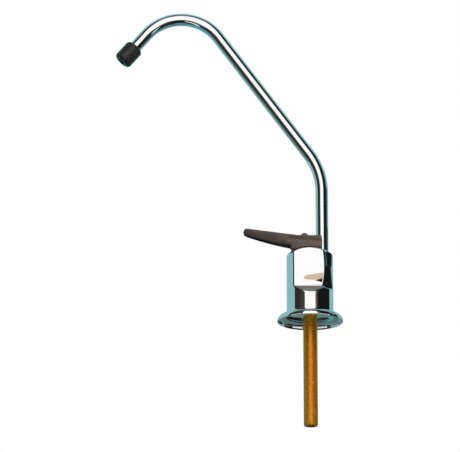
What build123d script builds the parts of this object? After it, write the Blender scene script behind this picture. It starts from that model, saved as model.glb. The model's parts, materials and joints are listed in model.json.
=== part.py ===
from build123d import *

import math
import os

# Long reach drinking-water tap: swivelling gooseneck spout, press lever, domed base and threaded shank.
# Millimetres. The origin is the centre of the base plate's rim, on the deck surface. +Z is up, the body's
# axis is the Z axis, and at rest the spout and the lever point along -X.

# Base plate (escutcheon)
base_radius = 25.4
base_height = 6.0
base_rim_height = 0.9
base_plateau_radius = 18.6
base_lip_width = 6.2
base_lip_rounding = 0.7
base_ceiling_height = 4.0
base_recess_fillet = 2.4

# Body
body_radius = 18.0
body_height = 53.6
dome_radius = 28.5
shoulder_fillet = 2.4
flats_across = 25.4
flat_height = 34.2
body_foot_chamfer = 0.5
boss_radius = 6.9

# Spout tube and its path
spout_offset = 9.7
tube_radius = 4.9
tube_wall = 0.9
rise_to_lean = 122.0
lean_angle = 36.15
lean_length = 182.8
lean_bend_radius = 52.0
outlet_angle = 40.6
outlet_length = 75.6
arch_bend_radius = 36.0

# Outlet nozzle
nozzle_radius = 7.3
nozzle_length = 16.8
nozzle_shoulder = 2.8
nozzle_bore_radius = 3.2
nozzle_overlap = 10.5

# Spout socket
socket_radius = 6.1
tube_foot_rise = 4.5
sleeve_length = 12.5
sleeve_groove_depth = 0.95
sleeve_groove_width = 1.3
sleeve_groove_spacing = 5.0
retainer_gap = 0.2
retainer_thickness = 0.8
retainer_reach = 0.6
retainer_gap_angle = 40.0
bush_gap = 0.4

# Valve chamber and seat
valve_offset = -4.0
chamber_radius = 5.5
passage_radius = 1.8
passage_rise = 0.2
inlet_passage_radius = 2.2
plenum_height = 4.0
seat_radius = 3.4
seat_bore_radius = 2.0
seat_depth = 6.0
seat_lip_height = 1.5
seat_lip_width = 0.6
seat_lip_flare = 0.5

# Stem and washer
stem_radius = 1.6
cup_radius = 4.0
cup_depth = 1.5
cup_floor_thickness = 1.8
washer_radius = 3.35
washer_thickness = 2.2
screw_radius = 0.8
screw_length = 6.0
screw_head_radius = 1.5
screw_head_height = 0.8
stem_chamfer = 0.3
stem_ring_radius = 0.5
stem_groove_depth = 0.35
stem_ring_rise = 3.0
stem_ring_spacing = 4.0

# Spring
wire_radius = 0.45
spring_radius = 2.9
spring_length = 8.0
spring_turns = 4.5
spring_washer_thickness = 0.5
spring_washer_radius = 4.4

# Bonnet
spot_face_depth = 1.8
bonnet_length = 11.0
bonnet_head_height = 3.6
bonnet_across_flats = 10.0
bonnet_guide_length = 3.4
bonnet_ring_radius = 0.6
bonnet_ring_rise = 3.5
spot_face_radius = 6.1

# Lever
lever_rise = 8.4
lever_rear = 9.0
lever_rear_crown = 0.5
lever_half_width = 7.7
lever_tip_half_width = 4.9
lever_tip_reach = 51.4
lever_tip_rise = 6.2
lever_tip_depth = 3.9
lever_tip_slant = 2.5
lever_tip_undercut = 0.8
lever_tip_overrun = 0.3
lever_wall = 2.0
lever_plate = 3.0
lever_kink = 9.0
lever_blend_radius = 30.0
lever_edge_fillet = 0.9
lever_heel = 12.7
heel_radius = 1.6
heel_rib = 4.0
paddle_root_reach = 2.7
paddle_root_rise = 2.3
paddle_sag = 0.75
press_angle = 12.0

# Cap on the stem
cap_radius = 2.9
cap_rim_height = 1.3
cap_height = 3.8
cap_crown_thickness = 1.3
cap_slope = 14.0

# Shank
shank_radius = 5.556
shank_length = 82.0
shank_neck_radius = 5.3
shank_bore_radius = 2.5
shank_spigot_radius = 4.6
shank_spigot_length = 8.5
shank_chamfer = 0.7
tube_socket_radius = 3.25
tube_socket_depth = 12.0

# Gasket under the body
gasket_radius = 14.0
gasket_width = 1.8
gasket_depth = 1.1

# Clearances
running_clearance = 0.05
assembly_gap = 0.02
lever_gap = 0.15
tube_gap = 0.6
slot_gap = 0.25
cap_gap = 0.2
cutter_overrun = 1.0

# Heights that follow from the sizes above: the body's shape, then down the valve from its top
body_bottom = base_height
apex = body_bottom + body_height
dome_centre = apex - dome_radius
boss_bottom = base_ceiling_height
flat_bottom = apex - flat_height
spigot_top = boss_bottom + shank_spigot_length
plenum_top = spigot_top + plenum_height
bonnet_seat = apex - spot_face_depth
bonnet_top = bonnet_seat + bonnet_head_height
bonnet_bottom = bonnet_seat - bonnet_length
spring_top = bonnet_bottom - spring_washer_thickness
cup_top = spring_top - spring_length
washer_top = cup_top - cup_floor_thickness
cup_rim = washer_top - cup_depth
seat_top = washer_top - washer_thickness
chamber_floor = seat_top - seat_lip_height
seat_bottom = chamber_floor - seat_depth

# Spout socket, up from its floor, which is level with the valve chamber's
tube_foot = chamber_floor + tube_foot_rise
sleeve_top = tube_foot + sleeve_length
sleeve_radius = socket_radius - running_clearance
retainer_bottom = sleeve_top + retainer_gap
retainer_top = retainer_bottom + retainer_thickness
bush_bottom = retainer_top + bush_gap

# Lever's pivot, the centre of the round heel that rocks on the dome, and the cap that rides on the lever
press = math.radians(press_angle)
lever_top = apex + lever_rise
heel_height = dome_centre + math.sqrt((dome_radius + lever_gap + heel_radius) ** 2 - lever_heel ** 2)
heel_foot = heel_height - heel_radius
slot_travel = ((lever_top - heel_height) * math.tan(press)
               + (valve_offset + lever_heel) * (1 / math.cos(press) - 1))
stem_groove_radius = stem_radius - stem_groove_depth
gland_radius = stem_groove_radius + 2 * stem_ring_radius + running_clearance
cap_bore = stem_radius + assembly_gap
cone_slope = math.tan(math.radians(cap_slope))
cap_base = lever_top + cap_gap - cap_bore * cone_slope
cap_top = cap_base + cap_height
stem_top = cap_top - cap_crown_thickness
os.makedirs("parts", exist_ok=True)


def dome_height(distance):
    """Height of the body's domed top at a distance from its axis."""
    return dome_centre + math.sqrt(dome_radius ** 2 - distance ** 2)


def spout_points():
    """Corner points of the spout's centreline, from the tube's foot to its outlet end."""
    lean = math.radians(lean_angle)
    outlet = math.radians(outlet_angle)
    foot = Vector(spout_offset, 0, tube_foot)
    knee = Vector(spout_offset, 0, rise_to_lean)
    crown = knee + Vector(-math.sin(lean), 0, math.cos(lean)) * lean_length
    end = crown + Vector(-math.sin(outlet), 0, -math.cos(outlet)) * outlet_length
    return [foot, knee, crown, end]


path_points = spout_points()
outlet_end = path_points[3]
outlet_direction = (path_points[3] - path_points[2]).normalized()
nozzle_plane = Plane(origin=outlet_end, x_dir=(0, 1, 0), z_dir=-outlet_direction)

# Base plate: a solid domed flange with a recess below and a hole for the body's boss
with BuildPart() as escutcheon:
    with BuildSketch(Plane.XZ) as base_profile:
        with BuildLine():
            inner = boss_radius + assembly_gap
            lip = base_radius - base_lip_width
            Line((inner, base_height), (base_plateau_radius, base_height))
            EllipticalCenterArc((base_plateau_radius, base_rim_height), base_radius - base_plateau_radius,
                                base_height - base_rim_height, start_angle=0, arc_size=90)
            Line((base_radius, base_rim_height), (base_radius, 0))
            Line((base_radius, 0), (lip, 0))
            Line((lip, 0), (lip, base_ceiling_height - base_recess_fillet))
            CenterArc((lip - base_recess_fillet, base_ceiling_height - base_recess_fillet), base_recess_fillet, 0, 90)
            Line((lip - base_recess_fillet, base_ceiling_height), (inner, base_ceiling_height))
            Line((inner, base_ceiling_height), (inner, base_height))
        make_face()
        fillet(base_profile.vertices().group_by(Axis.Y)[0], base_lip_rounding)
    revolve(axis=Axis.Z)
escutcheon.part.label = "escutcheon"

# Body: turned and domed, with two side flats that run out at 45 degrees and a boss below
with BuildPart() as tap_body:
    with BuildSketch(Plane.XZ) as body_profile:
        with BuildLine():
            shoulder = dome_height(body_radius)
            Polyline((0, boss_bottom), (boss_radius, boss_bottom), (boss_radius, body_bottom),
                     (body_radius - body_foot_chamfer, body_bottom), (body_radius, body_bottom + body_foot_chamfer),
                     (body_radius, shoulder))
            ThreePointArc((body_radius, shoulder), (body_radius / 2, dome_height(body_radius / 2)), (0, apex))
            Line((0, apex), (0, boss_bottom))
        make_face()
        fillet(body_profile.vertices().group_by(Axis.X)[-1].sort_by(Axis.Y)[-1], shoulder_fillet)
    revolve(axis=Axis.Z)
    with BuildSketch(Plane.YZ) as flat_cut:
        with BuildLine():
            flat_y = flats_across / 2
            run_out = body_radius - flat_y + cutter_overrun
            Polyline((flat_y, apex + cutter_overrun), (flat_y, flat_bottom),
                     (flat_y + run_out, flat_bottom - run_out), (flat_y + run_out, apex + cutter_overrun), close=True)
        make_face()
        mirror(about=Plane.YZ)
    extrude(amount=body_radius + cutter_overrun, both=True, mode=Mode.SUBTRACT)
    # Valve chamber, its spot face, and the seat's pocket
    with Locations((valve_offset, 0, chamber_floor)):
        Cylinder(chamber_radius, body_height, align=(Align.CENTER, Align.CENTER, Align.MIN), mode=Mode.SUBTRACT)
    with Locations((valve_offset, 0, bonnet_seat)):
        Cylinder(spot_face_radius, body_height, align=(Align.CENTER, Align.CENTER, Align.MIN), mode=Mode.SUBTRACT)
    with Locations((valve_offset, 0, chamber_floor)):
        Cylinder(seat_radius + assembly_gap, seat_depth, align=(Align.CENTER, Align.CENTER, Align.MAX),
                 mode=Mode.SUBTRACT)
    # Spout socket with the retainer's groove
    with Locations((spout_offset, 0, chamber_floor)):
        Cylinder(socket_radius, body_height, align=(Align.CENTER, Align.CENTER, Align.MIN), mode=Mode.SUBTRACT)
    with Locations((spout_offset, 0, retainer_bottom)):
        Cylinder(socket_radius + retainer_reach + assembly_gap, retainer_thickness,
                 align=(Align.CENTER, Align.CENTER, Align.MIN), mode=Mode.SUBTRACT)
    # Water passages: inlet to plenum, plenum to seat, chamber to socket
    with Locations((0, 0, boss_bottom)):
        Cylinder(shank_spigot_radius + assembly_gap, plenum_top - boss_bottom,
                 align=(Align.CENTER, Align.CENTER, Align.MIN), mode=Mode.SUBTRACT)
    with Locations((valve_offset, 0, plenum_top - cutter_overrun)):
        Cylinder(inlet_passage_radius, chamber_floor - plenum_top, align=(Align.CENTER, Align.CENTER, Align.MIN),
                 mode=Mode.SUBTRACT)
    with Locations(Location((valve_offset, 0, chamber_floor + passage_radius + passage_rise), (0, 90, 0))):
        Cylinder(passage_radius, spout_offset - valve_offset, align=(Align.CENTER, Align.CENTER, Align.MIN),
                 mode=Mode.SUBTRACT)
    # Groove for the gasket
    with BuildSketch(Plane.XY.offset(body_bottom)):
        Circle(gasket_radius + gasket_width / 2 + assembly_gap)
        Circle(gasket_radius - gasket_width / 2 - assembly_gap, mode=Mode.SUBTRACT)
    extrude(amount=gasket_depth + assembly_gap, mode=Mode.SUBTRACT)
tap_body.part.label = "tap_body"

# Gasket between the body and the base plate
with BuildPart() as body_gasket:
    with BuildSketch(Plane.XY.offset(body_bottom)):
        Circle(gasket_radius + gasket_width / 2)
        Circle(gasket_radius - gasket_width / 2, mode=Mode.SUBTRACT)
    extrude(amount=gasket_depth)
body_gasket.part.label = "body_gasket"

# Shank: threaded tube, plain neck, and the spigot that screws into the boss
with BuildPart() as shank:
    with BuildSketch(Plane.XZ):
        with BuildLine():
            Polyline((shank_bore_radius, spigot_top), (shank_spigot_radius, spigot_top),
                     (shank_spigot_radius, boss_bottom), (shank_neck_radius, boss_bottom), (shank_neck_radius, 0),
                     (shank_radius, 0), (shank_radius, shank_chamfer - shank_length),
                     (shank_radius - shank_chamfer, -shank_length), (tube_socket_radius, -shank_length),
                     (tube_socket_radius, tube_socket_depth - shank_length),
                     (shank_bore_radius, tube_socket_depth - shank_length), close=True)
        make_face()
    revolve(axis=Axis.Z)
shank.part.label = "shank"

# Valve seat: insert with a raised lip
with BuildPart() as valve_seat:
    with BuildSketch(Plane.XZ.move(Location((valve_offset, 0, 0)))):
        with BuildLine():
            lip_outer = seat_bore_radius + seat_lip_width
            Polyline((seat_bore_radius, seat_bottom), (seat_radius, seat_bottom),
                     (seat_radius, chamber_floor), (lip_outer + seat_lip_flare, chamber_floor),
                     (lip_outer, seat_top), (seat_bore_radius, seat_top), close=True)
        make_face()
    revolve(axis=Axis((valve_offset, 0, 0), (0, 0, 1)))
valve_seat.part.label = "valve_seat"

# Rubber washer that closes the seat
with BuildPart() as seat_washer:
    with BuildSketch(Plane.XY.offset(seat_top)):
        with Locations((valve_offset, 0)):
            Circle(washer_radius)
            Circle(screw_radius + assembly_gap, mode=Mode.SUBTRACT)
    extrude(amount=washer_thickness)
seat_washer.part.label = "seat_washer"

# Screw that holds the washer in the cup
with BuildPart() as washer_screw:
    with BuildSketch(Plane.XY.offset(seat_top - screw_head_height)):
        with Locations((valve_offset, 0)):
            Circle(screw_head_radius)
    extrude(amount=screw_head_height)
    with BuildSketch(Plane.XY.offset(seat_top)):
        with Locations((valve_offset, 0)):
            Circle(screw_radius)
    extrude(amount=screw_length)
    with BuildSketch(Plane.XY.offset(seat_top - screw_head_height)):
        with Locations((valve_offset, 0)):
            Rectangle(2 * screw_head_radius, screw_head_height / 2)
    extrude(amount=screw_head_height / 2, mode=Mode.SUBTRACT)
washer_screw.part.label = "washer_screw"

# Stem: washer cup at the foot, two ring grooves, plain shaft up through the lever
lower_ring = bonnet_bottom + stem_ring_rise
upper_ring = lower_ring + stem_ring_spacing
with BuildPart() as stem:
    with BuildSketch(Plane.XZ.move(Location((valve_offset, 0, 0)))):
        with BuildLine():
            points = [(0, washer_top), (washer_radius + assembly_gap, washer_top),
                      (washer_radius + assembly_gap, cup_rim), (cup_radius, cup_rim), (cup_radius, cup_top),
                      (stem_radius, cup_top)]
            for height in [lower_ring, upper_ring]:
                low = height - stem_ring_radius - running_clearance
                high = height + stem_ring_radius + running_clearance
                points += [(stem_radius, low), (stem_groove_radius, low), (stem_groove_radius, high),
                           (stem_radius, high)]
            points += [(stem_radius, stem_top - stem_chamfer), (stem_radius - stem_chamfer, stem_top), (0, stem_top)]
            Polyline(*points, close=True)
        make_face()
    revolve(axis=Axis((valve_offset, 0, 0), (0, 0, 1)))
    with Locations((valve_offset, 0, washer_top)):
        Cylinder(screw_radius + assembly_gap, seat_top + screw_length - washer_top + assembly_gap,
                 align=(Align.CENTER, Align.CENTER, Align.MIN), mode=Mode.SUBTRACT)
stem.part.label = "stem"

with BuildPart() as stem_oring_lower:
    with Locations((valve_offset, 0, lower_ring)):
        Torus(stem_groove_radius + stem_ring_radius, stem_ring_radius)
stem_oring_lower.part.label = "stem_oring_lower"

with BuildPart() as stem_oring_upper:
    with Locations((valve_offset, 0, upper_ring)):
        Torus(stem_groove_radius + stem_ring_radius, stem_ring_radius)
stem_oring_upper.part.label = "stem_oring_upper"

# Return spring, with its ends ground flat
with BuildPart() as return_spring:
    with BuildLine() as coil:
        Helix(pitch=(spring_length - 2 * wire_radius) / spring_turns, height=spring_length - 2 * wire_radius,
              radius=spring_radius, center=(valve_offset, 0, cup_top + wire_radius))
    with BuildSketch(Plane(origin=coil.line @ 0, z_dir=coil.line % 0)):
        Circle(wire_radius)
    sweep(is_frenet=True)
return_spring.part.label = "return_spring"

# Thrust washer above the spring
with BuildPart() as spring_washer:
    with BuildSketch(Plane.XY.offset(spring_top)):
        with Locations((valve_offset, 0)):
            Circle(spring_washer_radius)
            Circle(stem_radius + 2 * running_clearance, mode=Mode.SUBTRACT)
    extrude(amount=spring_washer_thickness)
spring_washer.part.label = "spring_washer"

# Bonnet: screws into the chamber, hexagon head above, gland bore inside
ring_height = bonnet_bottom + bonnet_ring_rise
with BuildPart() as bonnet:
    with BuildSketch(Plane.XY.offset(bonnet_bottom)):
        with Locations((valve_offset, 0)):
            Circle(chamber_radius - assembly_gap)
    extrude(amount=bonnet_length)
    with BuildSketch(Plane.XY.offset(bonnet_seat)):
        with Locations((valve_offset, 0)):
            RegularPolygon(bonnet_across_flats / 2, 6, major_radius=False, rotation=0)
    extrude(amount=bonnet_head_height)
    with BuildSketch(Plane.XY.offset(ring_height - bonnet_ring_radius - running_clearance)):
        with Locations((valve_offset, 0)):
            Circle(chamber_radius + cutter_overrun)
            Circle(chamber_radius - 2 * bonnet_ring_radius, mode=Mode.SUBTRACT)
    extrude(amount=2 * (bonnet_ring_radius + running_clearance), mode=Mode.SUBTRACT)
    with Locations((valve_offset, 0, bonnet_bottom)):
        Cylinder(gland_radius, bonnet_top - bonnet_guide_length - bonnet_bottom,
                 align=(Align.CENTER, Align.CENTER, Align.MIN), mode=Mode.SUBTRACT)
        Cylinder(stem_radius + running_clearance, bonnet_top - bonnet_bottom + cutter_overrun,
                 align=(Align.CENTER, Align.CENTER, Align.MIN), mode=Mode.SUBTRACT)
bonnet.part.label = "bonnet"

with BuildPart() as bonnet_oring:
    with Locations((valve_offset, 0, ring_height)):
        Torus(chamber_radius - bonnet_ring_radius, bonnet_ring_radius)
bonnet_oring.part.label = "bonnet_oring"

# Spout tube: vertical rise, lean, arch and outlet, as runs joined by tangent arcs
with BuildPart() as spout_tube:
    with BuildLine() as spout_path:
        FilletPolyline(*path_points, radius=[lean_bend_radius, arch_bend_radius])
    with BuildSketch(Plane(origin=spout_path.line @ 0, z_dir=spout_path.line % 0)):
        Circle(tube_radius)
        Circle(tube_radius - tube_wall, mode=Mode.SUBTRACT)
    sweep()
    # The tube stops inside the nozzle, short of its end
    with Locations(nozzle_plane.location):
        Cylinder(2 * tube_radius, nozzle_length - nozzle_overlap, align=(Align.CENTER, Align.CENTER, Align.MIN),
                 mode=Mode.SUBTRACT)
spout_tube.part.label = "spout_tube"

# Sleeve on the tube's foot, with two ring grooves
sleeve_middle = tube_foot + sleeve_length / 2
sleeve_ring_heights = [sleeve_middle - sleeve_groove_spacing / 2, sleeve_middle + sleeve_groove_spacing / 2]
with BuildPart() as spout_sleeve:
    with BuildSketch(Plane.XY.offset(tube_foot)):
        with Locations((spout_offset, 0)):
            Circle(sleeve_radius)
            Circle(tube_radius, mode=Mode.SUBTRACT)
    extrude(amount=sleeve_length)
    for height in sleeve_ring_heights:
        with BuildSketch(Plane.XY.offset(height - sleeve_groove_width / 2)):
            with Locations((spout_offset, 0)):
                Circle(sleeve_radius + cutter_overrun)
                Circle(sleeve_radius - sleeve_groove_depth, mode=Mode.SUBTRACT)
        extrude(amount=sleeve_groove_width, mode=Mode.SUBTRACT)
spout_sleeve.part.label = "spout_sleeve"

spout_ring_section = sleeve_groove_depth / 2
with BuildPart() as spout_oring_lower:
    with Locations((spout_offset, 0, sleeve_ring_heights[0])):
        Torus(sleeve_radius - spout_ring_section, spout_ring_section)
spout_oring_lower.part.label = "spout_oring_lower"

with BuildPart() as spout_oring_upper:
    with Locations((spout_offset, 0, sleeve_ring_heights[1])):
        Torus(sleeve_radius - spout_ring_section, spout_ring_section)
spout_oring_upper.part.label = "spout_oring_upper"

# Split ring above the sleeve, in the socket's groove
with BuildPart() as spout_retainer:
    with BuildSketch(Plane.XY.offset(retainer_bottom)):
        with Locations((spout_offset, 0)):
            Circle(socket_radius + retainer_reach)
            Circle(tube_radius + 2 * running_clearance, mode=Mode.SUBTRACT)
        with Locations((spout_offset + socket_radius, 0)):
            Rectangle(2 * socket_radius, 2 * socket_radius * math.sin(math.radians(retainer_gap_angle / 2)),
                      mode=Mode.SUBTRACT)
    extrude(amount=retainer_thickness)
spout_retainer.part.label = "spout_retainer"

# Plastic bush in the socket's mouth, trimmed to the dome
with BuildPart() as guide_bush:
    with BuildSketch(Plane.XY.offset(bush_bottom)):
        with Locations((spout_offset, 0)):
            Circle(socket_radius - assembly_gap)
            Circle(tube_radius + running_clearance, mode=Mode.SUBTRACT)
    extrude(amount=apex - bush_bottom)
    with Locations((0, 0, dome_centre)):
        Sphere(dome_radius, mode=Mode.INTERSECT)
guide_bush.part.label = "guide_bush"

# Outlet nozzle: rounded rubber sleeve over the tube's end
with BuildPart() as outlet_nozzle:
    with BuildSketch(nozzle_plane):
        Circle(nozzle_radius)
    extrude(amount=nozzle_length)
    fillet(outlet_nozzle.edges().filter_by(GeomType.CIRCLE), nozzle_shoulder)
    with BuildSketch(nozzle_plane.offset(nozzle_length - nozzle_overlap)):
        Circle(tube_radius)
    extrude(amount=nozzle_overlap + cutter_overrun, mode=Mode.SUBTRACT)
    with BuildSketch(nozzle_plane):
        Circle(nozzle_bore_radius)
    extrude(amount=nozzle_length, mode=Mode.SUBTRACT)
outlet_nozzle.part.label = "outlet_nozzle"

# Lever: a moulded channel, narrower towards its tip, whose rear ears straddle the spout tube
with BuildPart() as lever:
    with BuildSketch(Plane.XZ):
        with BuildLine():
            tip_top = (lever_tip_slant - lever_tip_reach, lever_top + lever_tip_rise)
            tip_bottom = (lever_tip_undercut - lever_tip_reach, lever_top + lever_tip_rise - lever_tip_depth)
            tip_nose = (-lever_tip_reach, lever_top + lever_tip_rise - lever_tip_depth / 2)
            root = (-lever_heel - paddle_root_reach, heel_height + paddle_root_rise)
            rear_top = (lever_rear - lever_rear_crown, lever_top)
            rear_foot = (lever_rear - lever_rear_crown, heel_foot)
            FilletPolyline(rear_top, (-lever_kink, lever_top), tip_top, radius=lever_blend_radius)
            ThreePointArc(tip_top, tip_nose, tip_bottom)
            SagittaArc(tip_bottom, root, -paddle_sag)
            Polyline(root, (-lever_heel, heel_height), (-lever_heel, heel_foot), rear_foot)
            ThreePointArc(rear_foot, (lever_rear, (heel_foot + lever_top) / 2), rear_top)
        make_face()
        with Locations((-lever_heel, heel_height)):
            Circle(heel_radius)
    extrude(amount=lever_half_width, both=True)
    with BuildSketch(Plane.XY.offset(body_bottom)):
        with BuildLine():
            tip_start = lever_tip_half_width - lever_tip_reach
            Polyline((tip_start, -lever_tip_half_width), (-lever_kink, -lever_half_width),
                     (lever_rear + cutter_overrun, -lever_half_width), (lever_rear + cutter_overrun, lever_half_width),
                     (-lever_kink, lever_half_width), (tip_start, lever_tip_half_width))
            ThreePointArc((tip_start, lever_tip_half_width), (-lever_tip_reach - lever_tip_overrun, 0),
                          (tip_start, -lever_tip_half_width))
        make_face()
    extrude(amount=2 * body_height, mode=Mode.INTERSECT)
    top_edges = ShapeList()
    for face in lever.faces():
        if face.normal_at().Z > math.cos(math.radians(press_angle)):
            top_edges += face.edges().filter_by(lambda edge: abs(edge.center().Y) > lever_tip_half_width / 2)
    fillet(top_edges, lever_edge_fillet)
    # Relief over the dome, and the notch that straddles the spout tube
    with Locations((0, 0, dome_centre)):
        Sphere(dome_radius + lever_gap, mode=Mode.SUBTRACT)
    with BuildSketch(Plane.XY.offset(body_bottom)):
        with Locations((spout_offset, 0)):
            Circle(tube_radius + tube_gap)
        with Locations((spout_offset + lever_rear / 2, 0)):
            Rectangle(lever_rear, 2 * (tube_radius + tube_gap))
    extrude(amount=2 * body_height, mode=Mode.SUBTRACT)
    # Hollow of the hub, below its top plate and behind the heel's rib
    hub_hollow_front = heel_rib / 2 - lever_heel
    with BuildSketch(Plane.XY.offset(body_bottom)):
        with Locations(((spout_offset + hub_hollow_front) / 2, 0)):
            Rectangle(spout_offset - hub_hollow_front, 2 * (tube_radius + tube_gap))
    extrude(amount=lever_top - lever_plate - body_bottom, mode=Mode.SUBTRACT)
    # Hollow of the paddle, from the heel's rib to the tip
    with BuildSketch(Plane.XZ):
        with BuildLine():
            pocket_rear = -lever_heel - heel_rib / 2
            pocket_tip = 2 * lever_wall - lever_tip_reach
            Polyline((pocket_rear, body_bottom), (pocket_rear, lever_top - lever_wall),
                     (pocket_tip, lever_top + lever_tip_rise - lever_wall), (pocket_tip, body_bottom), close=True)
        make_face()
    extrude(amount=lever_tip_half_width - lever_wall, both=True, mode=Mode.SUBTRACT)
    # Slot for the stem, longer towards the spout, where the lever rocks to
    slot_front = valve_offset - stem_radius - slot_gap
    slot_rear = valve_offset + stem_radius + slot_gap + slot_travel
    with BuildSketch(Plane.XY.offset(lever_top)):
        with Locations(((slot_front + slot_rear) / 2, 0)):
            SlotOverall(slot_rear - slot_front, 2 * (stem_radius + slot_gap))
    extrude(amount=2 * lever_plate, both=True, mode=Mode.SUBTRACT)
lever.part.label = "lever"

# Cap screwed on the stem: domed above, a shallow cone below that rides on the lever
with BuildPart() as stem_cap:
    with BuildSketch(Plane.XZ.move(Location((valve_offset, 0, 0)))):
        with BuildLine():
            rim_low = cap_base + cap_radius * cone_slope
            rim_high = rim_low + cap_rim_height
            crown_rise = cap_top - rim_high
            crown_radius = (cap_radius ** 2 + crown_rise ** 2) / (2 * crown_rise)
            crown_centre = cap_top - crown_radius
            half_root = math.sqrt(0.5)
            Polyline((0, cap_top), (0, stem_top + assembly_gap), (cap_bore, stem_top + assembly_gap),
                     (cap_bore, cap_base + cap_bore * cone_slope), (cap_radius, rim_low), (cap_radius, rim_high))
            ThreePointArc((cap_radius, rim_high), (crown_radius * half_root, crown_centre + crown_radius * half_root),
                          (0, cap_top))
        make_face()
    revolve(axis=Axis((valve_offset, 0, 0), (0, 0, 1)))
stem_cap.part.label = "stem_cap"

pieces = [escutcheon, tap_body, body_gasket, shank, valve_seat, seat_washer, washer_screw, stem, stem_oring_lower,
          stem_oring_upper, return_spring, spring_washer, bonnet, bonnet_oring, spout_tube, spout_sleeve,
          spout_oring_lower, spout_oring_upper, spout_retainer, guide_bush, outlet_nozzle, lever,
          stem_cap]
for piece in pieces:
    export_step(piece.part, f"parts/{piece.part.label}.step")
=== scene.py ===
import json
import math

import bmesh
import bpy
from mathutils import Matrix, Vector

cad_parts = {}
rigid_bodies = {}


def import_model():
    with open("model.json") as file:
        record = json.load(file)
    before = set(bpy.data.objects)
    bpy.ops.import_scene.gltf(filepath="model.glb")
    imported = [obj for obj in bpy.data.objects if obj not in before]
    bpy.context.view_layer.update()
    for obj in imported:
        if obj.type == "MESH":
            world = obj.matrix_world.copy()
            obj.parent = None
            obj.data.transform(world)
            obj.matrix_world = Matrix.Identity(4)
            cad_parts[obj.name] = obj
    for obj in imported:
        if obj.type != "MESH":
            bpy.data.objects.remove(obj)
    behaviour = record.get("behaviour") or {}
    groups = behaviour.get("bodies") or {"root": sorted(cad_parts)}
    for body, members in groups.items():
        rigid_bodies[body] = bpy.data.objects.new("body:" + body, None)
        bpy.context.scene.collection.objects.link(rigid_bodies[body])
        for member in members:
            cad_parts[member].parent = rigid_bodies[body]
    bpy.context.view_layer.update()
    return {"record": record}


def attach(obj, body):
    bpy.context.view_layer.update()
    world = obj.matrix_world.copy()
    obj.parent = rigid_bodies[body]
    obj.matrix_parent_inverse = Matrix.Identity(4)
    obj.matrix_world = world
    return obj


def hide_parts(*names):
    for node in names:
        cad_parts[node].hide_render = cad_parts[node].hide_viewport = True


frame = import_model()

# Blender's lengths are metres. The object, the camera's place and the flat cards are given in millimetres
# here, and the camera's reach, the floor, the other cards and the lamps in metres.
MM = 0.001
white = (1.0, 1.0, 1.0)

# Camera: a long lens a little below the deck, side on
camera_target = Vector((-61.8, 0, 77.3)) * MM
camera_distance = 2500 * MM
camera_elevation = math.radians(-16.6)
camera_lens = 251.8
camera_sensor = 36
camera_reach = 30

# Floor: below every camera, and fading to white far from the object
floor_height = -3.2
floor_size = 60
floor_color = (0.93, 0.94, 0.94)
floor_fade = (1.5, 11.0)

# Cards that only reflections see, each a patch of a sphere round the object: name, azimuths, elevations,
# colour and distance. Azimuths count from the camera's side towards +X, elevations from the horizon, in
# degrees.
card_steps = 24
far = 3.0
near = 0.5
nearer = 0.3
shelf_distance = 0.25
beside_body = 0.1
side_heights = (-78, 86)
front = (-27, 29)
behind = (94, 277)
teal = (0.25, 0.48, 0.51)
deep_teal = (0.035, 0.11, 0.11)
sea_blue = (0.08, 0.33, 0.42)
tan = (0.645, 0.49, 0.36)
bottle_green = (0.12, 0.22, 0.20)
lichen = (0.10, 0.16, 0.15)
black = (0.008, 0.008, 0.0075)
soot = (0.026, 0.023, 0.019)
ash = (0.04, 0.044, 0.038)
olive = (0.045, 0.045, 0.033)
warm_grey = (0.36, 0.28, 0.24)
brown = (0.11, 0.07, 0.035)
stone = (0.20, 0.19, 0.18)
slate = (0.11, 0.125, 0.15)
taupe = (0.20, 0.18, 0.155)
umber = (0.05, 0.046, 0.038)
cards = [
    ("flag_left", (-83, -50), side_heights, soot, far),
    ("flag_left_inner", (-50, -27), side_heights, ash, far),
    ("flag_right_warm", (24, 29), (-14, 60), warm_grey, far),
    ("flag_right_inner", (29, 38), side_heights, olive, far),
    ("flag_right", (38, 82), side_heights, black, far),
    ("flag_right_edge", (82, 94), side_heights, deep_teal, far),
    ("flag_right_low", (80, 109), (-50, 20), black, near),
    ("flag_right_high", (94, 109), (20, 31), black, near),
    ("flag_right_near", (94, 112), (38, 60), black, beside_body),
    ("glint_left", (-68, -29), (-14, 0), white, nearer),
    ("glint_right", (29, 68), (-14, 0), white, nearer),
    ("flag_top", front, (58, 67), slate, far),
    ("flag_top_middle", front, (67, 77), stone, far),
    ("flag_top_back", front, (77, 90), brown, far),
    ("flag_low_edge", front, (-22, -14), taupe, far),
    ("flag_low_middle", front, (-34, -22), umber, far),
    ("flag_low", front, (-78, -34), black, far),
    ("backdrop", behind, (-12, 90), teal, far),
    ("backdrop_strip", behind, (-22, -12), bottle_green, far),
    ("backdrop_under", behind, (-90, -22), sea_blue, far),
    ("shelf", (109, 251), (-90, -20), lichen, shelf_distance),
    ("backdrop_low", (-83, 94), (-90, -78), sea_blue, far),
    ("backdrop_top_left", (-83, -27), (86, 90), teal, far),
    ("backdrop_top_right", (29, 94), (86, 90), teal, far),
]

# Flat cards close to the near flat, which mirrors them: name, colour and outline, as X and Z on the flat
flat_card_gap = 40
flat_cards = [
    ("tan_card", tan, [(-4.4, 31.0), (-3.6, 32.6), (-1.0, 33.7), (3.0, 34.4), (8.0, 35.2), (13.5, 35.8),
                       (13.5, 31.2), (8.0, 30.2), (5.0, 29.5), (0.5, 29.7), (-2.8, 30.0)]),
    ("dark_card", black, [(4.6, 29.3), (8.0, 30.2), (10.0, 32.4), (14.0, 34.0), (14.0, 26.6), (10.0, 27.6)]),
]

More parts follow.
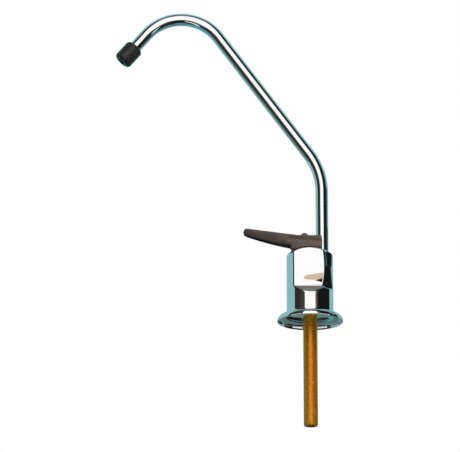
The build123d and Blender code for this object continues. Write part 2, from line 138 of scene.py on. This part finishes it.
# Soft light for what isn't metal: a room that brightens upwards, two large lamps and a small one near the
# lever. The room's limits are heights on a sphere of radius 1. A lamp has a name, a place, a size and watts.
room_above = (0.9, 0.9, 0.92)
room_below = (0.03, 0.03, 0.032)
room_limits = (-0.6, 0.8)
lamps = [
    ("key_lamp", (0.4, -1.5, 1.7), 1.2, 16),
    ("fill_lamp", (1.4, -1.2, 0.9), 1.5, 8),
    ("near_lamp", (0.10, -0.22, 0.17), 0.12, 0.34),
]

# Finishes of the record's slots: the limits of colour and roughness, the sizes of the colour's patches and of
# the grain, the grain's height, and the way the grain runs
patch_detail = 3
grain_detail = 2
patch_limits = (0.35, 0.65)
grain_limits = (0.3, 0.7)
even_grain = (1, 1, 1)
turned_grain = (1, 1, 6)
finishes = {
    "chrome": {"colors": [(0.98, 0.98, 0.98), (0.96, 0.965, 0.97)], "roughness": (0.03, 0.05),
               "patch": 18, "grain": 6, "relief": 0.004, "metallic": 1},
    "raw_brass": {"colors": [(0.96, 0.52, 0.075), (0.84, 0.39, 0.04)], "roughness": (0.27, 0.36),
                  "patch": 2.5, "grain": 0.35, "relief": 0.01, "metallic": 0.85},
    "turned_brass": {"colors": [(0.80, 0.60, 0.27), (0.70, 0.50, 0.20)], "roughness": (0.18, 0.3),
                     "patch": 3, "grain": 0.25, "relief": 0.004, "metallic": 1, "stretch": turned_grain},
    "steel": {"colors": [(0.62, 0.62, 0.61), (0.52, 0.52, 0.52)], "roughness": (0.22, 0.34),
              "patch": 2, "grain": 0.2, "relief": 0.003, "metallic": 1, "stretch": turned_grain},
    "lever_plastic": {"colors": [(0.105, 0.08, 0.064), (0.08, 0.062, 0.05)], "roughness": (0.5, 0.62),
                      "patch": 7, "grain": 0.35, "relief": 0.02, "specular": 0.2},
    "bush_plastic": {"colors": [(0.02, 0.02, 0.02), (0.03, 0.03, 0.03)], "roughness": (0.4, 0.5),
                     "patch": 3, "grain": 0.3, "relief": 0.01},
    "nozzle_rubber": {"colors": [(0.012, 0.013, 0.013), (0.024, 0.02, 0.017)], "roughness": (0.3, 0.42),
                      "patch": 5, "grain": 0.4, "relief": 0.012},
    "seal_rubber": {"colors": [(0.012, 0.012, 0.012), (0.02, 0.02, 0.02)], "roughness": (0.5, 0.65),
                    "patch": 2, "grain": 0.2, "relief": 0.01},
}

# Meshes: the angle at which an edge stays sharp, and how close points are merged
sharp_edge = math.radians(35)
merge_distance = 0.0001

# Body, as in the frame
body_bottom = 6.0
body_radius = 18.0
body_foot_chamfer = 0.5
boss_radius = 6.9
boss_bottom = 4.0
apex = 59.6
dome_radius = 28.5
dome_centre = apex - dome_radius
shoulder_fillet = 2.4
flat_y = 12.7
flat_bottom = 25.4
valve_offset = -4.0
spout_offset = 9.7
chamber_floor = 32.8
chamber_radius = 5.5
spot_face_radius = 6.1
spot_face_height = 57.8
seat_pocket_radius = 3.42
seat_bottom = 26.8
socket_radius = 6.1
retainer_radius = 6.72
retainer_low = 50.0
retainer_high = 50.8
spigot_radius = 4.62
plenum_top = 16.5
inlet_radius = 2.2
passage_radius = 1.8
passage_height = 34.8
groove_inner = 13.08
groove_outer = 14.92
groove_top = 7.12

# Body, finer than the frame: flats blend into the round, more so at the rear, and polishing has taken down
# their rear edges
front_blend = 0.9
rear_blend = 1.9
blend_reach = flat_y / 2
run_out_blend = 1.4
polish_angle = math.radians(50)
polish_depth = 17.0
polish_middle = 42.0
polish_curve = 0.005
polish_run_out = 2
polish_blend = 1.6

# Body's mesh: points round it, rows up it that are closest where the flats run out, and how far its cutters
# reach past what they cut
body_segments = 288
cutter_segments = 96
fine_rows_low = 18
fine_rows_high = 37
foot_row_step = 1.5
fine_row_step = 0.25
upper_row_step = 1.0
fillet_steps = 12
dome_steps = 44
cutter_overlap = 1
cutter_rise = 2

# Base plate: as in the frame above, and below it the inside of a pressed shell
plate_radius = 25.4
plate_height = 6.0
plate_rim_height = 0.9
plateau_radius = 18.6
plate_wall = 1.0
plate_inner_wall = 1.9
plate_wall_slope = 0.35
plate_land = 0.8
plate_rounding = 0.3
plate_corner_sag = 0.1
plate_hole = 6.92
plate_segments = 160
plate_steps = 20

# Lever, softened from the frame's solid: edges rounded, sides that roll under, a crease along the hub, and
# a longer rear. The crease is on the outer sides only, which are further out than crease_least_y.
lever_weld = 0.001
lever_voxel = 0.3
lever_soften = 0.5
lever_soften_steps = 9
lever_least_height = 1.0
roll_under_start = -11.0
roll_under_end = -24.0
roll_under = 0.38
roll_under_sag = 0.7
crease_front = (-16.0, 65.3)
crease_rear = (9.7, 62.9)
crease_depth = 0.9
crease_width = 2.6
crease_least_y = 6.6
rear_stretch = 0.6
rear_stretch_start = 3.0
rear_stretch_end = 9.0

# Shank, as in the frame, with its real thread: 7/16 inch, 24 turns to the inch. A phase of the thread is
# a share of the pitch and, at that height, a share of the thread's depth.
shank_radius = 5.556
shank_length = 82.0
shank_neck_radius = 5.3
shank_bore_radius = 2.5
shank_spigot_radius = 4.6
shank_spigot_top = 12.5
shank_chamfer = 0.7
shank_top_radius = 5.0
tube_socket_radius = 3.25
tube_socket_depth = 12.0
thread_pitch = 25.4 / 24
thread_depth = 0.55
thread_phases = [(0.0, 0.0), (0.16, 0.0), (0.5, 1.0), (0.66, 1.0)]
thread_run_out = 0.5
shank_segments = 72
shank_merge_distance = 0.001
shank_sharp_edge = math.radians(50)


def add_object(name, data):
    """New object in the scene's collection."""
    piece = bpy.data.objects.new(name, data)
    bpy.context.collection.objects.link(piece)
    return piece


def make_camera():
    """Long lens at the photograph's angle."""
    data = bpy.data.cameras.new("camera")
    data.lens = camera_lens
    data.sensor_width = camera_sensor
    data.clip_end = camera_reach
    camera = add_object("camera", data)
    towards_camera = Vector((0, -math.cos(camera_elevation), math.sin(camera_elevation)))
    camera.location = camera_target + camera_distance * towards_camera
    camera.rotation_euler = (-towards_camera).to_track_quat("-Z", "Y").to_euler()
    bpy.context.scene.camera = camera


def node_material(name):
    """Material without nodes yet, and its lists of nodes and links."""
    material = bpy.data.materials.new(name)
    material.use_nodes = True
    material.node_tree.nodes.clear()
    return material, material.node_tree.nodes, material.node_tree.links


def ramp(nodes, links, value, limits, results=(0, 1), kind="LINEAR"):
    """A node's output that goes from one result to the other as the value goes between its limits."""
    node = nodes.new("ShaderNodeMapRange")
    node.interpolation_type = kind
    node.inputs["From Min"].default_value, node.inputs["From Max"].default_value = limits
    node.inputs["To Min"].default_value, node.inputs["To Max"].default_value = results
    links.new(value, node.inputs["Value"])
    return node.outputs[0]


def mix_colors(nodes, links, share, colors):
    """A node's output that goes from the first colour to the second with the share."""
    node = nodes.new("ShaderNodeMix")
    node.data_type = "RGBA"
    node.inputs["A"].default_value = (*colors[0], 1)
    node.inputs["B"].default_value = (*colors[1], 1)
    links.new(share, node.inputs["Factor"])
    return node.outputs["Result"]


def mix_shaders(nodes, links, share, first, second):
    """A node's output that goes from the first shader to the second with the share."""
    node = nodes.new("ShaderNodeMixShader")
    links.new(share, node.inputs["Fac"])
    links.new(first, node.inputs[1])
    links.new(second, node.inputs[2])
    return node.outputs[0]


def larger(nodes, links, first, second):
    """A node's output that is the larger of two."""
    node = nodes.new("ShaderNodeMath")
    node.operation = "MAXIMUM"
    links.new(first, node.inputs[0])
    links.new(second, node.inputs[1])
    return node.outputs[0]


def glow_material(name, color):
    """Plain emission, for cards."""
    material, nodes, links = node_material(name)
    output = nodes.new("ShaderNodeOutputMaterial")
    glow = nodes.new("ShaderNodeEmission")
    glow.inputs["Color"].default_value = (*color, 1)
    links.new(glow.outputs[0], output.inputs["Surface"])
    return material


def add_card(name, color, points, faces):
    """Glowing card that only reflections see."""
    mesh = bpy.data.meshes.new(name)
    mesh.from_pydata(points, [], faces)
    mesh.materials.append(glow_material(name, color))
    piece = add_object(name, mesh)
    piece.visible_camera = False
    piece.visible_diffuse = False
    piece.visible_shadow = False


def make_card(name, azimuths, elevations, color, distance):
    """Card that is a patch of a sphere round the object."""
    points = []
    for row in range(card_steps + 1):
        elevation = math.radians(elevations[0] + (elevations[1] - elevations[0]) * row / card_steps)
        for column in range(card_steps + 1):
            azimuth = math.radians(azimuths[0] + (azimuths[1] - azimuths[0]) * column / card_steps)
            points.append((distance * math.cos(elevation) * math.sin(azimuth),
                           -distance * math.cos(elevation) * math.cos(azimuth),
                           distance * math.sin(elevation)))
    width = card_steps + 1
    corners = [width * row + column for row in range(card_steps) for column in range(card_steps)]
    faces = [(corner, corner + 1, corner + width + 1, corner + width) for corner in corners]
    add_card(name, color, points, faces)


def make_flat_card(name, color, outline):
    """Card in front of the near flat, where the camera sees its mirror image at the outline's points."""
    forward = flat_card_gap * math.cos(camera_elevation)
    up = -flat_card_gap * math.sin(camera_elevation)
    points = [Vector((x, -flat_y - forward, z + up)) * MM for x, z in outline]
    add_card(name, color, points, [range(len(points))])


def make_world():
    """White behind the object and in its reflections, and a room that is darker below for diffuse light."""
    world = bpy.data.worlds.new("studio")
    bpy.context.scene.world = world
    world.use_nodes = True
    nodes = world.node_tree.nodes
    links = world.node_tree.links
    nodes.clear()
    output = nodes.new("ShaderNodeOutputWorld")
    plain = nodes.new("ShaderNodeBackground")
    plain.inputs["Color"].default_value = (*white, 1)
    path = nodes.new("ShaderNodeLightPath")
    camera_or_glossy = larger(nodes, links, path.outputs["Is Camera Ray"], path.outputs["Is Glossy Ray"])
    seen = larger(nodes, links, camera_or_glossy, path.outputs["Is Transmission Ray"])
    place = nodes.new("ShaderNodeTexCoord")
    parts = nodes.new("ShaderNodeSeparateXYZ")
    links.new(place.outputs["Generated"], parts.inputs[0])
    height = ramp(nodes, links, parts.outputs["Z"], room_limits, kind="SMOOTHSTEP")
    room = nodes.new("ShaderNodeBackground")
    links.new(mix_colors(nodes, links, height, [room_below, room_above]), room.inputs["Color"])
    links.new(mix_shaders(nodes, links, seen, room.outputs[0], plain.outputs[0]), output.inputs["Surface"])


def make_lamps():
    """Soft lamps that reflections don't show."""
    for name, place, size, power in lamps:
        data = bpy.data.lights.new(name, "AREA")
        data.size = size
        data.energy = power
        lamp = add_object(name, data)
        lamp.location = place
        lamp.rotation_euler = (camera_target - Vector(place)).to_track_quat("-Z", "Y").to_euler()
        lamp.visible_glossy = False
        lamp.visible_camera = False


def floor_material():
    """Pale and matt below the object, and white further out."""
    material, nodes, links = node_material("floor")
    output = nodes.new("ShaderNodeOutputMaterial")
    matt = nodes.new("ShaderNodeBsdfDiffuse")
    matt.inputs["Color"].default_value = (*floor_color, 1)
    plain = nodes.new("ShaderNodeEmission")
    plain.inputs["Color"].default_value = (*white, 1)
    place = nodes.new("ShaderNodeTexCoord")
    sideways = nodes.new("ShaderNodeVectorMath")
    sideways.operation = "MULTIPLY"
    sideways.inputs[1].default_value = (1, 1, 0)
    links.new(place.outputs["Object"], sideways.inputs[0])
    length = nodes.new("ShaderNodeVectorMath")
    length.operation = "LENGTH"
    links.new(sideways.outputs[0], length.inputs[0])
    fade = ramp(nodes, links, length.outputs["Value"], floor_fade, kind="SMOOTHSTEP")
    links.new(mix_shaders(nodes, links, fade, matt.outputs[0], plain.outputs[0]), output.inputs["Surface"])
    return material


def make_floor():
    """Plain pale floor, far enough down to be below the main camera."""
    half = floor_size / 2
    corners = [(-half, -half, floor_height), (half, -half, floor_height), (half, half, floor_height),
               (-half, half, floor_height)]
    mesh = bpy.data.meshes.new("floor")
    mesh.from_pydata(corners, [], [range(len(corners))])
    mesh.materials.append(floor_material())
    floor = add_object("floor", mesh)
    floor.visible_diffuse = False


def noise(nodes, links, place, size, detail, stretch=even_grain):
    """Noise at a place on the object. Its spots' size is in millimetres, and stretch squeezes them."""
    mapping = nodes.new("ShaderNodeMapping")
    mapping.inputs["Scale"].default_value = stretch
    texture = nodes.new("ShaderNodeTexNoise")
    texture.inputs["Scale"].default_value = 1 / (size * MM)
    texture.inputs["Detail"].default_value = detail
    links.new(place, mapping.inputs["Vector"])
    links.new(mapping.outputs[0], texture.inputs["Vector"])
    return texture.outputs["Fac"]


def finish_material(name, colors, roughness, patch, grain, relief, metallic=0, specular=0.5,
                    stretch=even_grain):
    """Surface whose colour drifts in patches, with a fine grain in its roughness and its bump."""
    material, nodes, links = node_material(name)
    output = nodes.new("ShaderNodeOutputMaterial")
    shader = nodes.new("ShaderNodeBsdfPrincipled")
    shader.inputs["Metallic"].default_value = metallic
    shader.inputs["Specular IOR Level"].default_value = specular
    place = nodes.new("ShaderNodeTexCoord").outputs["Object"]
    patches = noise(nodes, links, place, patch, patch_detail)
    color = mix_colors(nodes, links, ramp(nodes, links, patches, patch_limits), colors)
    links.new(color, shader.inputs["Base Color"])
    grains = noise(nodes, links, place, grain, grain_detail, stretch)
    links.new(ramp(nodes, links, grains, grain_limits, roughness), shader.inputs["Roughness"])
    bump = nodes.new("ShaderNodeBump")
    bump.inputs["Distance"].default_value = relief * MM
    bump.inputs["Strength"].default_value = 1
    links.new(grains, bump.inputs["Height"])
    links.new(bump.outputs[0], shader.inputs["Normal"])
    links.new(shader.outputs[0], output.inputs["Surface"])
    return material


def clamp(share):
    """Share that stays between 0 and 1."""
    return min(max(share, 0), 1)


def smooth_min(first, second, blend):
    """Smaller of two lengths, rounded over where they meet."""
    overlap = max(blend - abs(first - second), 0) / blend
    return min(first, second) - overlap * overlap * blend / 4


def smooth_max(first, second, blend):
    """Larger of two lengths, rounded over where they meet."""
    return -smooth_min(-first, -second, blend)


def add_turned(solid, profile, segments, shape=None):
    """Adds to a bmesh a profile of (radius, height) turned about Z. shape may move a point.

    An end of the profile that is on the axis is one point.
    """
    rings = []
    for radius, height in profile:
        if radius == 0:
            rings.append([solid.verts.new((0, 0, height))])
            continue
        ring = []
        for step in range(segments):
            turn = 2 * math.pi * step / segments
            point = (radius * math.cos(turn), radius * math.sin(turn), height)
            ring.append(solid.verts.new(shape(*point) if shape else point))
        rings.append(ring)
    for low, high in zip(rings, rings[1:]):
        for step in range(segments):
            after = (step + 1) % segments
            if len(low) == 1:
                solid.faces.new((low[0], high[after], high[step]))
            elif len(high) == 1:
                solid.faces.new((low[step], low[after], high[0]))
            else:
                solid.faces.new((low[step], low[after], high[after], high[step]))


def turned(profile, segments, shape=None):
    """Bmesh of a profile turned about Z."""
    solid = bmesh.new()
    add_turned(solid, profile, segments, shape)
    return solid


def smooth_mesh(mesh, sharp_angle=sharp_edge):
    """Smooth shading, with a crease where faces meet at more than the angle."""
    mesh.shade_smooth()
    mesh.set_sharp_from_angle(angle=sharp_angle)


def mesh_object(name, solid, sharp_angle=sharp_edge):
    """Object in metres from a bmesh in millimetres, smooth but for its sharp edges."""
    bmesh.ops.recalc_face_normals(solid, faces=solid.faces)
    bmesh.ops.scale(solid, vec=(MM, MM, MM), verts=solid.verts)
    mesh = bpy.data.meshes.new(name)
    solid.to_mesh(mesh)
    solid.free()
    smooth_mesh(mesh, sharp_angle)
    return add_object(name, mesh)


def apply_modifiers(piece):
    """Gives a piece the mesh that its modifiers make, and takes them off."""
    graph = bpy.context.evaluated_depsgraph_get()
    mesh = bpy.data.meshes.new_from_object(piece.evaluated_get(graph))
    piece.modifiers.clear()
    piece.data = mesh


def dress(piece, node, body, slot):
    """New piece that stands for a node, rides on its body and takes its slot's material."""
    piece.data.materials.append(slots[slot])
    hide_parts(node)
    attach(piece, body)


def cut(piece, cutters):
    """Takes the cutters' union out of the piece."""
    tools = bpy.data.collections.new("tools")
    for cutter in cutters:
        bpy.context.collection.objects.unlink(cutter)
        tools.objects.link(cutter)
    holes = piece.modifiers.new("holes", "BOOLEAN")
    holes.operation = "DIFFERENCE"
    holes.solver = "EXACT"
    holes.operand_type = "COLLECTION"
    holes.collection = tools
    apply_modifiers(piece)
    for cutter in cutters:
        bpy.data.objects.remove(cutter)
    bpy.data.collections.remove(tools)


def flatted_point(x, y, z):
    """Point of the round body after its flats and their run-out are taken off."""
    if z < body_bottom or abs(y) < blend_reach:
        return x, y, z
    rear = clamp((x + blend_reach) / (2 * blend_reach))
    blend = front_blend + (rear_blend - front_blend) * rear
    limit = smooth_max(flat_y, flat_y + flat_bottom - z, run_out_blend)
    return x, math.copysign(smooth_min(abs(y), limit, blend), y), z


def body_point(x, y, z):
    """Point of the body: flatted, and its flats' rear edges polished down round their middle height."""
    x, y, z = flatted_point(x, y, z)
    if x < 0 or z < body_bottom:
        return x, y, z
    run_out = polish_run_out * max(flat_bottom - z, 0)
    reach = polish_depth - polish_curve * (z - polish_middle) ** 2 + run_out
    limit = (reach - x * math.sin(polish_angle)) / math.cos(polish_angle)
    if limit <= 0:
        return x, y, z
    return x, math.copysign(smooth_min(abs(y), limit, polish_blend), y), z


def body_profile():
    """Profile of the body from the boss's foot to the apex."""
    points = [(0, boss_bottom), (boss_radius, boss_bottom), (boss_radius, body_bottom),
              (body_radius - body_foot_chamfer, body_bottom)]
    fillet_radius = body_radius - shoulder_fillet
    fillet_height = dome_centre + math.sqrt((dome_radius - shoulder_fillet) ** 2 - fillet_radius ** 2)
    straight = [
        (body_bottom + body_foot_chamfer, fine_rows_low, foot_row_step),
        (fine_rows_low, fine_rows_high, fine_row_step),
        (fine_rows_high, fillet_height, upper_row_step),
    ]
    for low, high, step in straight:
        count = round((high - low) / step)
        points += [(body_radius, low + (high - low) * index / count) for index in range(count)]
    end_angle = math.atan2(fillet_height - dome_centre, fillet_radius)
    for index in range(fillet_steps):
        angle = end_angle * index / fillet_steps
        points.append((fillet_radius + shoulder_fillet * math.cos(angle),
                       fillet_height + shoulder_fillet * math.sin(angle)))
    for index in range(dome_steps):
        angle = end_angle + (math.pi / 2 - end_angle) * index / dome_steps
        points.append((dome_radius * math.cos(angle), dome_centre + dome_radius * math.sin(angle)))
    return points + [(0, apex)]


def hole(x, radius, low, high, inner=0):
    """Cutter for an upright hole, or for a ring groove where it has an inner radius."""
    if inner:
        profile = [(inner, low), (radius, low), (radius, high), (inner, high), (inner, low)]
    else:
        profile = [(0, low), (radius, low), (radius, high), (0, high)]
    solid = turned(profile, cutter_segments)
    bmesh.ops.remove_doubles(solid, verts=solid.verts, dist=merge_distance)
    bmesh.ops.translate(solid, vec=(x, 0, 0), verts=solid.verts)
    return mesh_object("cutter", solid)


def cross_passage():
    """Cutter for the passage from the valve's chamber to the spout's socket."""
    solid = turned([(0, valve_offset), (passage_radius, valve_offset), (passage_radius, spout_offset),
                    (0, spout_offset)], cutter_segments)
    bmesh.ops.rotate(solid, matrix=Matrix.Rotation(math.pi / 2, 3, "Y"), verts=solid.verts)
    bmesh.ops.translate(solid, vec=(0, 0, passage_height), verts=solid.verts)
    return mesh_object("cutter", solid)


def make_body():
    """Chromed body: dome, blended flats, and the chambers that its inside pieces sit in."""
    piece = mesh_object("tap_body_finish", turned(body_profile(), body_segments, body_point))
    above = apex + cutter_rise
    cut(piece, [
        hole(valve_offset, chamber_radius, chamber_floor, above),
        hole(valve_offset, spot_face_radius, spot_face_height, above),
        hole(valve_offset, seat_pocket_radius, seat_bottom, chamber_floor + cutter_overlap),
        hole(valve_offset, inlet_radius, plenum_top - cutter_overlap, chamber_floor),
        hole(spout_offset, socket_radius, chamber_floor, above),
        hole(spout_offset, retainer_radius, retainer_low, retainer_high),
        hole(0, spigot_radius, boss_bottom - cutter_overlap, plenum_top),
        hole(0, groove_outer, body_bottom - cutter_overlap, groove_top, groove_inner),
        cross_passage(),
    ])
    smooth_mesh(piece.data)
    dress(piece, "tap_body", "base", "chrome")


def quarter_ellipse(centre, low, radius, high, share):
    """Point of the quarter ellipse that goes from the radius, low, to its centre, high."""
    angle = math.pi / 2 * share
    return centre + (radius - centre) * math.cos(angle), low + (high - low) * math.sin(angle)


def make_base_plate():
    """Base plate as a pressed shell: domed above, hollow below, with a narrow land round its rim."""
    ceiling = plate_height - plate_wall
    inside = plate_radius - plate_wall
    points = [(plate_hole, ceiling), (plate_hole, plate_height), (plateau_radius, plate_height)]
    for step in range(1, plate_steps + 1):
        points.append(quarter_ellipse(plateau_radius, plate_rim_height, plate_radius, plate_height,
                                      1 - step / plate_steps))
    points += [(plate_radius, plate_rounding), (plate_radius - plate_corner_sag, plate_corner_sag),
               (plate_radius - plate_rounding, 0), (plate_radius - plate_land, 0), (inside, plate_rounding)]
    for step in range(plate_steps + 1):
        points.append(quarter_ellipse(plateau_radius, plate_inner_wall, inside - plate_wall_slope, ceiling,
                                      step / plate_steps))
    points.append((plate_hole, ceiling))
    solid = turned(points, plate_segments)
    bmesh.ops.remove_doubles(solid, verts=solid.verts, dist=merge_distance)
    piece = mesh_object("escutcheon_finish", solid)
    dress(piece, "escutcheon", "base", "chrome")


def softened_lever():
    """Lever from the frame's solid, remeshed and smoothed."""
    piece = add_object("lever_finish", bpy.data.objects["lever"].data.copy())
    weld = piece.modifiers.new("weld", "WELD")
    weld.merge_threshold = lever_weld * MM
    remesh = piece.modifiers.new("remesh", "REMESH")
    remesh.mode = "VOXEL"
    remesh.voxel_size = lever_voxel * MM
    soften = piece.modifiers.new("soften", "SMOOTH")
    soften.factor = lever_soften
    soften.iterations = lever_soften_steps
    apply_modifiers(piece)
    return piece


def heights_along(mesh):
    """Lowest and highest point of a mesh at each millimetre along X."""
    heights = {}
    for vertex in mesh.vertices:
        x, y, z = vertex.co / MM
        low, high = heights.get(round(x), (z, z))
        heights[round(x)] = (min(low, z), max(high, z))
    return heights


def crease_at(x, y, z):
    """Depth of the crease at a point of the lever. It fades in before its front end."""
    if abs(y) < crease_least_y:
        return 0
    fade = clamp((x - crease_front[0] + crease_width) / crease_width)
    share = (x - crease_front[0]) / (crease_rear[0] - crease_front[0])
    height = crease_front[1] + share * (crease_rear[1] - crease_front[1])
    return crease_depth * fade * clamp(1 - abs(z - height) / crease_width)


def make_lever():
    """Lever with moulded edges, whose sides roll under towards its tip."""
    piece = softened_lever()
    mesh = piece.data
    heights = heights_along(mesh)
    for vertex in mesh.vertices:
        x, y, z = vertex.co / MM
        low, high = heights[round(x)]
        crease = crease_at(x, y, z)
        drop = (high - z) / max(high - low, lever_least_height)
        roll = drop * drop * clamp((roll_under_start - x) / (roll_under_start - roll_under_end))
        x += rear_stretch * clamp((x - rear_stretch_start) / (rear_stretch_end - rear_stretch_start))
        y *= 1 - roll_under * roll
        y -= math.copysign(crease, y)
        z -= roll_under_sag * roll
        vertex.co = Vector((x, y, z)) * MM
    mesh.materials.clear()
    mesh.shade_smooth()
    dress(piece, "lever", "lever", "lever_plastic")


def thread_point(climb, depth, turn):
    """Point of the thread's surface at a height above the shank's foot, and a turn about its axis."""
    height = min(max(climb - shank_length, -shank_length), 0)
    radius = min(shank_radius - thread_depth * depth,
                 shank_radius - shank_chamfer + height + shank_length,
                 shank_top_radius - thread_run_out * height)
    return radius * math.cos(turn), radius * math.sin(turn), height


def add_thread(solid):
    """Adds the thread to a bmesh as one spiral surface. Its spare turns at the ends get merged."""
    rows = []
    for turn in range(-1, math.ceil(shank_length / thread_pitch) + 1):
        for phase, depth in thread_phases:
            row = []
            for step in range(shank_segments):
                share = step / shank_segments
                climb = thread_pitch * (turn + phase + share)
                row.append(solid.verts.new(thread_point(climb, depth, 2 * math.pi * share)))
            rows.append(row)
    next_turn = len(thread_phases)
    for index, (low, high) in enumerate(zip(rows, rows[1:])):
        for step in range(shank_segments - 1):
            solid.faces.new((low[step], low[step + 1], high[step + 1], high[step]))
        if index + next_turn + 1 < len(rows):
            solid.faces.new((low[-1], rows[index + next_turn][0], rows[index + next_turn + 1][0], high[-1]))


def make_shank():
    """Shank: its thread, and the neck, spigot, bore and tube socket, which are turned."""
    socket_top = tube_socket_depth - shank_length
    solid = bmesh.new()
    add_thread(solid)
    add_turned(solid, [(shank_top_radius, 0), (shank_neck_radius, 0), (shank_neck_radius, boss_bottom),
                       (shank_spigot_radius, boss_bottom), (shank_spigot_radius, shank_spigot_top),
                       (shank_bore_radius, shank_spigot_top), (shank_bore_radius, socket_top),
                       (tube_socket_radius, socket_top), (tube_socket_radius, -shank_length),
                       (shank_radius - shank_chamfer, -shank_length)], shank_segments)
    bmesh.ops.remove_doubles(solid, verts=solid.verts, dist=shank_merge_distance)
    piece = mesh_object("shank_thread", solid, shank_sharp_edge)
    dress(piece, "shank", "base", "raw_brass")


make_camera()
make_world()
make_lamps()
for values in cards:
    make_card(*values)
for values in flat_cards:
    make_flat_card(*values)

slots = {name: finish_material(name, **finish) for name, finish in finishes.items()}
for subpart in frame["record"]["subparts"]:
    node = bpy.data.objects[subpart["node"]]
    node.data.materials.clear()
    node.data.materials.append(slots[subpart["material_slot"]])

make_floor()
make_body()
make_base_plate()
make_lever()
make_shank()

bpy.context.scene.view_settings.view_transform = "Standard"
